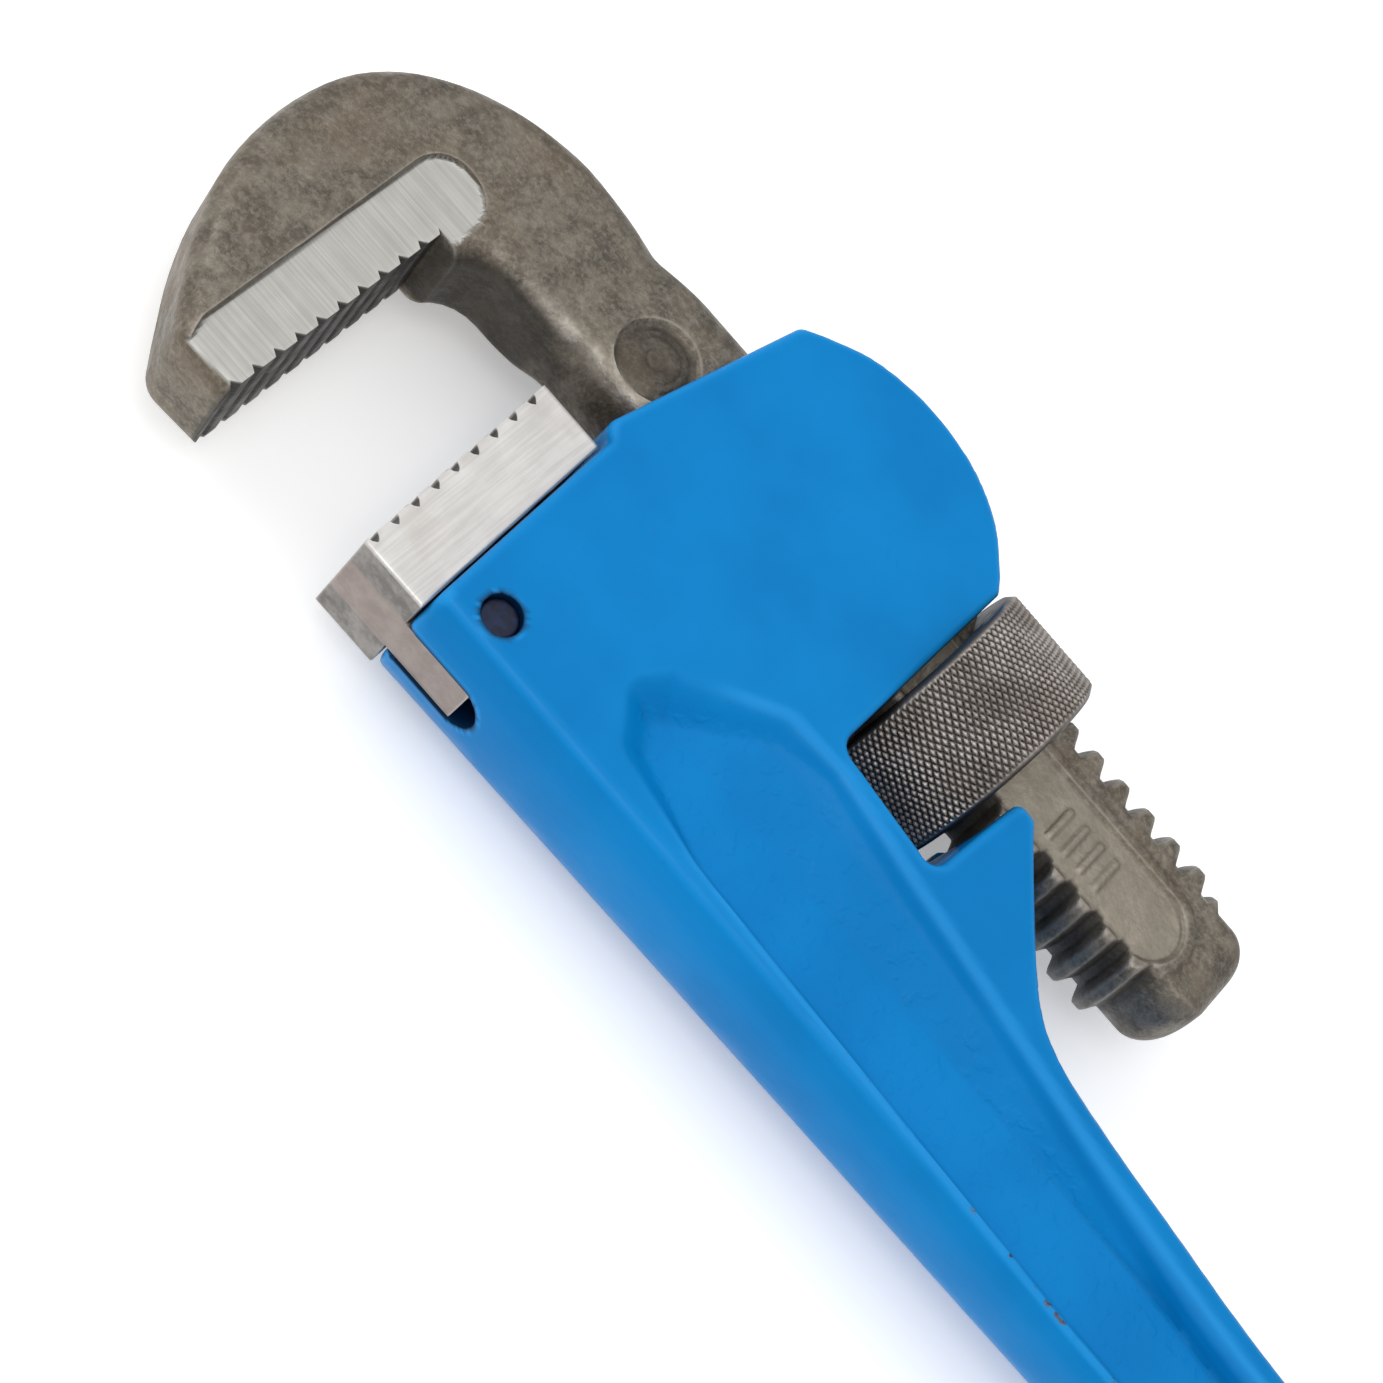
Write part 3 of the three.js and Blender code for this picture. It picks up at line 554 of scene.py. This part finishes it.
def tooth(y, top, rise, fall):
    """How far a row of buttress teeth stands at y, from 0 in a valley to 1 on a land, counting down from
    `top`: `rise` and `fall` are the shares of a tooth taken by its two sides."""
    t = (top - y) / TOOTH_PITCH % 1
    return np.clip(np.minimum(t / rise, (1 - t) / fall), 0, 1)


def thread_height(x, angle):
    """The shank's coarse right-hand thread, 0 at the root and 1 on the crest, at a place along it and
    round it: a broad flat root, even flanks and a narrow crest."""
    turn = ((x - CREST_AT) / PITCH - angle / (2 * np.pi) + 0.61) % 1
    return ease(np.minimum((turn - 0.22) / 0.28, (1 - turn) / 0.28), -0.05, 1.05)


def hook_face(y):
    """X of the hook jaw's toothed face at y."""
    return -29.9 - 0.014 * (y - TEETH_TOP) - 0.95 * (1 - tooth(y, TEETH_TOP, 0.15, 0.27))


def hook_form(x, y, z):
    """The hook jaw as a signed form: a head with rounded forged edges cut by the toothed face, joined to
    the plain shank and the threaded tang, both flatted, less the flanks, the mark pad and the panels. Four
    plain bars stand in the panel near the tang's end."""
    across = np.abs(z)
    radius, angle = np.hypot(y, z), np.arctan2(z, y)
    roll = 3.0 + ease(x, -30, -15) * (2.2 * ease(y, -3, 4) - 0.6)
    head_half = 7.9 - 0.75 * ease(x, -38, -22) - 0.9 * ease(x, -19, -10)
    head = both(inside_distance(HEAD_OUTLINE, x, y), across - head_half, roll)
    sink = ease(-x, 4, 24)
    shank = both(radius - SHANK_R + 2.6 * sink, across - SHANK_HALF + 1.2 * sink, 1.4)
    shank = both(np.maximum(shank, x - THREAD_FROM - 0.3), -27.0 - x, 3.0)
    solid = either(head, shank, 0.6)
    face = np.minimum(x - hook_face(y), TEETH_TOP - 0.1 - y)
    solid = np.maximum(solid, face)
    flank = both(inside_distance(FLANK_OUTLINE, x, y), SHANK_HALF - across, 0.7)
    solid = np.maximum(solid, -flank)
    pad = np.hypot(x - PAD_AT[0], y - PAD_AT[1])
    sunk = 0.55 * ease(pad, 3.7, 4.5) * (1 - ease(pad, 5.0, 5.8)) + 0.2 * (1 - ease(pad, 3.9, 4.4))
    sunk = sunk - 0.32 * ease(pad, 1.3, 1.9) * (1 - ease(pad, 2.6, 3.2))
    panel = np.hypot(x - np.clip(x, PANEL_FROM, PANEL_TO), y - PANEL_Y) - PANEL_R
    cut = 0.55 * ease(-panel, 0.0, 0.7) + 0.22 * ease(panel, 0.9, 1.5) * ease(x, 20, 24)
    for at in BARS_AT:
        cut = cut - 0.35 * (1 - ease(block(x - at, y + 2.6, 0.5, 2.7, 0.45), -0.25, 0.25))
    half = SHANK_HALF - cut - sunk * (z > 0)
    lead = ease(x, THREAD_FROM - 0.4, THREAD_FROM + 2.4)
    lead = lead * (1 - ease(x, THREAD_TO - 2.0, THREAD_TO + 0.8))
    tang = (radius - THREAD_ROOT_R - THREAD_DEPTH * thread_height(x, angle) * lead) * 0.75
    tang = both(both(tang, across - half, 0.35), x - TANG_END, 4.5)
    tang = np.maximum(tang, THREAD_FROM - 2.0 - x)
    return np.maximum(np.minimum(solid, tang), np.where(x > -20, across - half, -1))


def forged_steel():
    """Scaled forging, mottled grey and brown with a fine grain, paler on its edges, paler where the shank's
    corner slides as slide wear and a painted highlight, with bright milled flanks that carry the cutter's
    fine transverse marks, near-black in the roots of the teeth and the thread, and with painted shade on the
    throat's wall and in the hollows."""
    steel = Finish("forged_steel")
    edge, milled, cleaned, stamp, teeth, rub_and_highlight = (steel.mark(name) for name in (
        "edge", "milled", "cleaned", "stamp", "teeth", "rub_and_highlight"))
    mottle = steel.ramp(steel.noise(260, 5, 0.68), 0.36, 0.64)
    grey = steel.mix(mottle, (0.105, 0.092, 0.074), (0.205, 0.180, 0.143))
    brown = steel.mix(steel.ramp(steel.noise(75, 5, 0.6), 0.46, 0.66, 0, 0.5), grey, (0.185, 0.142, 0.098))
    grain = steel.mix(steel.ramp(steel.noise(1500, 3, 0.7), 0.42, 0.66, 0, 0.42), brown, (0.30, 0.275, 0.23))
    rubbed = steel.mix(steel.ramp(edge, 0.06, 0.26, 0, 0.55), grain, (0.38, 0.35, 0.31))
    # Paler where the shank's corner slides in the housing: slide wear, and a painted highlight there too.
    slid_and_highlight = steel.calc("MULTIPLY", rub_and_highlight, steel.ramp(steel.noise(240, 4, 0.65), 0.38, 0.6, 0.25, 0.9))
    slid_and_highlight = steel.mix(slid_and_highlight, rubbed, (0.46, 0.425, 0.37))
    pale = steel.mix(steel.calc("MULTIPLY", cleaned, 0.62), slid_and_highlight, (0.345, 0.31, 0.25))
    dark = steel.mix(steel.calc("MULTIPLY", stamp, 0.55), pale, (0.045, 0.038, 0.030))
    # Near-black in the roots of the teeth and the thread, and painted shade on the throat's wall.
    dark = steel.mix(steel.calc("MULTIPLY", teeth, 0.96), dark, (0.019, 0.016, 0.013))
    # Painted shade: darker in the hollows, where the form bends inwards.
    painted_hollow_shade = steel.mix(steel.ramp(edge, -0.05, -0.25, 0, 0.55), dark, (0.028, 0.024, 0.019))
    lines = steel.noise(1.0, 3, 0.6, steel.stretched(45, 3000, 45))
    cutter = steel.mix(steel.ramp(lines, 0.34, 0.66), (0.435, 0.425, 0.395), (0.515, 0.505, 0.47))
    color = steel.mix(milled, painted_hollow_shade, cutter)
    height = steel.calc("ADD", steel.calc("MULTIPLY", steel.noise(420, 5, 0.6), 1.0),
                        steel.calc("MULTIPLY", steel.noise(90, 2), 1.6))
    flat = steel.calc("MULTIPLY", steel.calc("SUBTRACT", 1.0, milled), height)
    height = steel.calc("ADD", flat, steel.calc("MULTIPLY", steel.calc("MULTIPLY", lines, milled), 0.10))
    metal = steel.ramp(teeth, 0.0, 1.0, 0.75, 0.1)
    dullness = steel.ramp(steel.noise(300, 4), 0.3, 0.7, 0.42, 0.60)
    return steel.done(color, metal, dullness, height, 0.0004, 0.7, **{"Specular IOR Level": 0.25})


points, faces = level_surface(hook_form, (-53, -50, -8.4), (98, 12, 8.4), 0.42)
x, y, across = points[:, 0], points[:, 1], np.abs(points[:, 2])
on_flank = ease(-inside_distance(FLANK_OUTLINE, x, y), 0.0, 0.3)
level_with = 1 - ease(np.abs(across - SHANK_HALF), 0.1, 0.35)
on_tooth = (1 - ease(np.abs(x - hook_face(y)), 0.15, 0.5)) * (y < TEETH_TOP + 0.2)
in_thread = 1 - thread_height(x, np.arctan2(points[:, 2], y))
in_thread = in_thread * ease(x, 21, 23) * (1 - ease(x, 88, 90)) * (1 - ease(across, 6.2, 6.6)) * 0.8
# The throat's wall, facing the open side: painted shade, carried by the teeth mark.
in_throat = ease(-y, 9.3, 10.0) * (1 - ease(-y, 14.2, 15.0)) * ease(x, -30.2, -29.4)
in_throat = in_throat * (1 - ease(x, -12, -5)) * (1 - ease(across, 5.4, 6.4)) * 0.75
from_line = np.hypot(x - np.clip(x, PANEL_FROM, PANEL_TO), y - PANEL_Y)
from_pad = np.hypot(x - PAD_AT[0], y - PAD_AT[1])
from_corner = np.hypot(y + 8.4, across - 5.9)
# Along the shank's corner by the housing: the mask for slide wear and a painted highlight.
rub_and_highlight = (1 - ease(from_corner, 0.4, 2.1)) * ease(x, -22, -11) * (1 - ease(x, -2, 2))
hook = piece_from("hook_forging", points, faces, forged_steel(), {
    "edge": edge_sharpness(hook_form, points, 0.55), "milled": on_flank * level_with, "rub_and_highlight": rub_and_highlight,
    "cleaned": (1 - ease(from_line, 4.3, 5.6)) * ease(across, 6.0, 6.5),
    "stamp": (1 - ease(from_pad, 4.6, 5.6)) * ease(points[:, 2], 5.9, 6.4),
    "teeth": np.maximum(np.maximum(on_tooth, in_thread), in_throat)}, 48)
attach(hook, "jaw")
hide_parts("hook_jaw")

# ---------------------------------------------------------------------------------------------------
# The adjusting nut: a turned steel ring, diamond knurled between two chamfers, tapped with the shank's
# thread, dark with oil.
NUT_FROM, NUT_TO, NUT_R = 44.8, 59.8, 15.8
RIDGES, RIDGE_DEPTH, RIDGE_SLOPE = 104, 0.38, 0.62


def nut_surface(around=720):
    """A closed ring: a profile that runs out along the knurl, in over the end, back through the thread
    and out over the other end, swept round the shank's axis. The knurl is cut along two families of
    grooves wound opposite ways, and so stands in diamonds."""
    outer = np.linspace(NUT_FROM, NUT_TO, 72)
    inner = np.linspace(NUT_TO - 0.7, NUT_FROM + 0.7, 48)
    face = np.linspace(NUT_R - 1.0, 12.3, 6)
    x = np.concatenate([outer, np.full(6, NUT_TO), inner, np.full(6, NUT_FROM)])
    base = np.concatenate([np.full(72, NUT_R), face, np.full(48, 9.5), face[::-1]])
    kind = np.concatenate([np.full(72, 1), np.zeros(6), np.full(48, 2), np.zeros(6)])[:, None]
    angle = np.arange(around) / around * 2 * np.pi
    x, base = x[:, None], base[:, None]
    end = np.minimum(x - NUT_FROM, NUT_TO - x)
    chamfer = 0.9 * (1 - np.clip(end / 0.7, 0, 1))
    u, v = RIDGES * angle / (2 * np.pi), x * RIDGES / (2 * np.pi * NUT_R)
    left, right = (np.abs((u + v * lean) % 1 - 0.5) * 2 for lean in (RIDGE_SLOPE, -RIDGE_SLOPE))
    knurl = RIDGE_DEPTH * (1 - np.clip(np.minimum(left, right) * 1.7, 0, 1)) * ease(end, 0.4, 0.9)
    lead_in = 0.9 * (1 - ease(end, 0.0, 2.0))
    thread = THREAD_DEPTH * thread_height(x, angle) + lead_in
    radius = base + np.where(kind == 1, -chamfer - knurl, 0) + np.where(kind == 2, np.minimum(thread, 2.2), 0)
    ring = np.stack([np.broadcast_to(x, radius.shape), radius * np.cos(angle), radius * np.sin(angle)], -1)
    rows = len(x)
    i = np.arange(rows)[:, None] * around + np.arange(around)[None, :]
    step = np.roll(i, -1, 1)
    below = np.roll(i, -1, 0)
    quads = np.stack([i, step, np.roll(below, -1, 1), below], -1).reshape(-1, 4)
    # Painted shade: near-black near both ends of the knurl, on the end faces and in the bore; the knurl's
    # grooves are darker too.
    end_shade = 0.75 * (1 - ease(end, 0.2, 0.8))
    groove_and_shade = np.where(kind == 1, np.maximum(knurl / RIDGE_DEPTH, end_shade), np.where(kind == 2, 0.7, 0.85))
    return ring.reshape(-1, 3), quads, groove_and_shade.ravel()


def oiled_steel():
    """Dark oiled steel: grey knurl tops, near-black in its grooves, painted shade on its ends and in its
    bore, and a soft brown bloom.
    """
    steel = Finish("oiled_steel")
    groove_and_shade = steel.mark("groove_and_shade")
    mottle = steel.ramp(steel.noise(160, 4, 0.6), 0.35, 0.65)
    top = steel.mix(mottle, (0.29, 0.262, 0.235), (0.47, 0.432, 0.395))
    bloom = steel.mix(steel.ramp(steel.noise(70, 3), 0.5, 0.68, 0, 0.4), top, (0.37, 0.30, 0.24))
    color = steel.mix(steel.ramp(groove_and_shade, 0.05, 0.85), bloom, (0.050, 0.041, 0.035))
    dullness = steel.ramp(steel.noise(260, 3), 0.3, 0.7, 0.36, 0.52)
    return steel.done(color, 0.8, dullness, steel.noise(700, 3), 0.0001, 0.5)


points, faces, groove_and_shade = nut_surface()
nut = piece_from("knurled_nut", points, faces, oiled_steel(), {"groove_and_shade": groove_and_shade}, 62)
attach(nut, "nut")
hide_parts("adjusting_nut")

# ---------------------------------------------------------------------------------------------------
# The heel jaw: a hardened block with milled teeth, ground bright on its sides and left grey on its
# ends, whose tenon drops into the handle's slot and is held there by a cross pin.
CREST_X, CREST_TOP, SEAT_LEAN = -9.0, -17.1, 0.043


def heel_form(x, y, z):
    """The block between its toothed face and its leaning seat, joined to the tenon, less the pin's hole,
    with the corners broken by 0.4 mm."""
    across = np.abs(z)
    crest = CREST_X - SEAT_LEAN * (y - CREST_TOP)
    face = crest + 1.05 * (1 - tooth(y, CREST_TOP, 0.2, 0.2)) ** 0.5
    seat = 0.4 - SEAT_LEAN * (y + 17.7)
    block_form = both(both(x - seat, np.maximum(y + 17.7, -49.0 - y), 0.35), across - 8.5, 0.4)
    block_form = both(block_form, face - x, 0.12)
    tenon = block(x - 3.6, y + 37.6, 8.6, 16.6, 4.6)
    tenon = both(np.maximum(tenon, -49.0 - y), across - 3.3, 0.3)
    hole = np.hypot(x - PIN_AT[0], y - PIN_AT[1]) - 2.8
    return np.maximum(either(block_form, tenon, 0.15), -hole)


def ground_steel():
    """Ground sides with fine straight scratches, grey scaled ends, edges rubbed bright, near-black in the
    roots of the teeth, and painted shade in the hollows."""
    steel = Finish("ground_steel")
    edge, side, teeth, tenon = (steel.mark(name) for name in ("edge", "side", "teeth", "tenon"))
    scratch = steel.noise(1.0, 3, 0.6, steel.stretched(2400, 90, 90))
    ground = steel.mix(steel.ramp(scratch, 0.36, 0.64), (0.575, 0.56, 0.535), (0.655, 0.64, 0.615))
    stain = steel.mix(steel.ramp(steel.noise(120, 3), 0.52, 0.70, 0, 0.30), ground, (0.47, 0.43, 0.385))
    mottle = steel.ramp(steel.noise(260, 5, 0.65), 0.35, 0.65)
    scale = steel.mix(mottle, (0.14, 0.13, 0.12), (0.30, 0.282, 0.262))
    tan = steel.mix(steel.calc("MULTIPLY", tenon, 0.6), scale, (0.35, 0.28, 0.25))
    both_tones = steel.mix(side, tan, stain)
    rubbed = steel.mix(steel.ramp(edge, 0.10, 0.30, 0, 0.35), both_tones, (0.62, 0.60, 0.57))
    dark_roots = steel.mix(steel.calc("MULTIPLY", teeth, 0.92), rubbed, (0.030, 0.026, 0.022))
    # Painted shade: darker in the hollows, where the form bends inwards.
    color = steel.mix(steel.ramp(edge, -0.05, -0.25, 0, 0.85), dark_roots, (0.03, 0.026, 0.022))
    height = steel.calc("ADD", steel.calc("MULTIPLY", scratch, 0.25), steel.noise(500, 4))
    dullness = steel.ramp(steel.noise(200, 3), 0.3, 0.7, 0.34, 0.50)
    return steel.done(color, 0.7, dullness, height, 0.0001, 0.5)


points, faces = level_surface(heel_form, (-10, -49.6, -9), (13, -17, 9), 0.30)
x, y, across = points[:, 0], points[:, 1], np.abs(points[:, 2])
below_crest = x - CREST_X + SEAT_LEAN * (y - CREST_TOP)
in_notch = ease(below_crest, 0.05, 0.25) * (1 - ease(below_crest, 1.05, 1.2))
in_notch = in_notch * (1 - ease(across, 8.38, 8.5)) * (np.abs(y + 33.35) < 15.3)
heel = piece_from("heel_jaw_block", points, faces, ground_steel(), {
    "teeth": in_notch,
    "tenon": 1 - ease(across, 3.35, 3.6),
    "edge": edge_sharpness(heel_form, points, 0.45),
    "side": ease(across, 8.0, 8.4)}, 42)
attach(heel, "handle_assembly")
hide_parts("heel_jaw")

# ---------------------------------------------------------------------------------------------------
# The heel jaw's pin: a drawn steel dowel with broken corners, driven in below the surface and painted
# over with the handle; its ends are coloured near-black, painted shade for the hole they sit in.


def pin_form(x, y, z):
    """A round bar of 2.4 mm radius with broken corners."""
    return both(np.hypot(x - PIN_AT[0], y - PIN_AT[1]) - 2.4, np.abs(z) - 9.4, 0.4)


def dark_pin():
    """Drawn steel under a dull, thinly laid coat of dark blue paint, kept near-black as painted shade."""
    steel = Finish("painted_pin")
    mottle = steel.ramp(steel.noise(800, 4), 0.4, 0.62)
    color = steel.mix(mottle, (0.0015, 0.005, 0.022), (0.004, 0.014, 0.055))
    return steel.done(color, 0.2, 0.6, steel.noise(1200, 3), 0.0001)


points, faces = level_surface(pin_form, (5, -46.2, -10), (11, -40.2, 10), 0.28)
pin = piece_from("heel_jaw_dowel", points, faces, dark_pin(), None, 50)
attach(pin, "handle_assembly")
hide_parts("heel_jaw_pin")

# ---------------------------------------------------------------------------------------------------
# The springs inside the housing: a blued flat strip under the shank, the small coil that backs it and
# the rivet that holds the strip. The coil is made here; the strip and the rivet keep their plain forms.
COIL_AT, COIL_R, WIRE_R = 22.0, 2.9, 0.55
COIL_LOW, COIL_HIGH = -22.35, -14.05


def coil_surface(along=260, around=12):
    """A round wire swept along a helix of 4.5 turns about a line parallel to Y: each ring lies across the
    helix, on its outward line and the line square to that and to the wire. Five quads close each end."""
    t = np.linspace(0, 1, along)[:, None]
    turn = 9 * np.pi * t
    out = np.concatenate([np.cos(turn), np.zeros_like(t), np.sin(turn)], 1)
    line = COIL_R * out + np.concatenate([np.full_like(t, COIL_AT), COIL_LOW + (COIL_HIGH - COIL_LOW) * t,
                                          np.zeros_like(t)], 1)
    ahead = np.gradient(line, axis=0)
    ahead /= np.linalg.norm(ahead, axis=1)[:, None]
    square = np.cross(ahead, out)
    phi = np.arange(around) / around * 2 * np.pi
    cos, sin = np.cos(phi)[None, :, None], np.sin(phi)[None, :, None]
    ring = line[:, None] + WIRE_R * (cos * out[:, None] + sin * square[:, None])
    i = np.arange(along)[:, None] * around + np.arange(around)[None, :]
    step = np.roll(i, -1, 1)
    sides = np.stack([i[:-1], step[:-1], step[1:], i[1:]], -1).reshape(-1, 4)
    k = np.arange(around // 2 - 1)
    cap = np.stack([k, k + 1, around - 2 - k, around - 1 - k], -1)
    return ring.reshape(-1, 3), np.concatenate([sides, cap[:, ::-1], cap + (along - 1) * around])


def spring_finish(name, dark, light, roughness):
    """Tempered spring steel, streaked along its length."""
    steel = Finish(name)
    streak = steel.noise(1.0, 3, 0.6, steel.stretched(120, 1500, 1500))
    color = steel.mix(steel.ramp(streak, 0.36, 0.64), dark, light)
    return steel.done(color, 0.85, roughness, steel.noise(900, 3), 0.00005)


points, faces = coil_surface()
coil = piece_from("coil_spring_wire", points, faces,
                  spring_finish("coil_spring_steel", (0.10, 0.095, 0.09), (0.19, 0.18, 0.17), 0.34), None, 50)
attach(coil, "handle_assembly")
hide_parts("coil_spring")
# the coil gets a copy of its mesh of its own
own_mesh(coil)

for node, dark, light, roughness in (
        ("leaf_spring", (0.055, 0.055, 0.07), (0.12, 0.115, 0.12), 0.36),
        ("spring_rivet", (0.16, 0.155, 0.15), (0.28, 0.27, 0.26), 0.40)):
    spring = bpy.data.objects[node]
    spring.data.materials.clear()
    spring.data.materials.append(spring_finish(f"{node}_steel", dark, light, roughness))
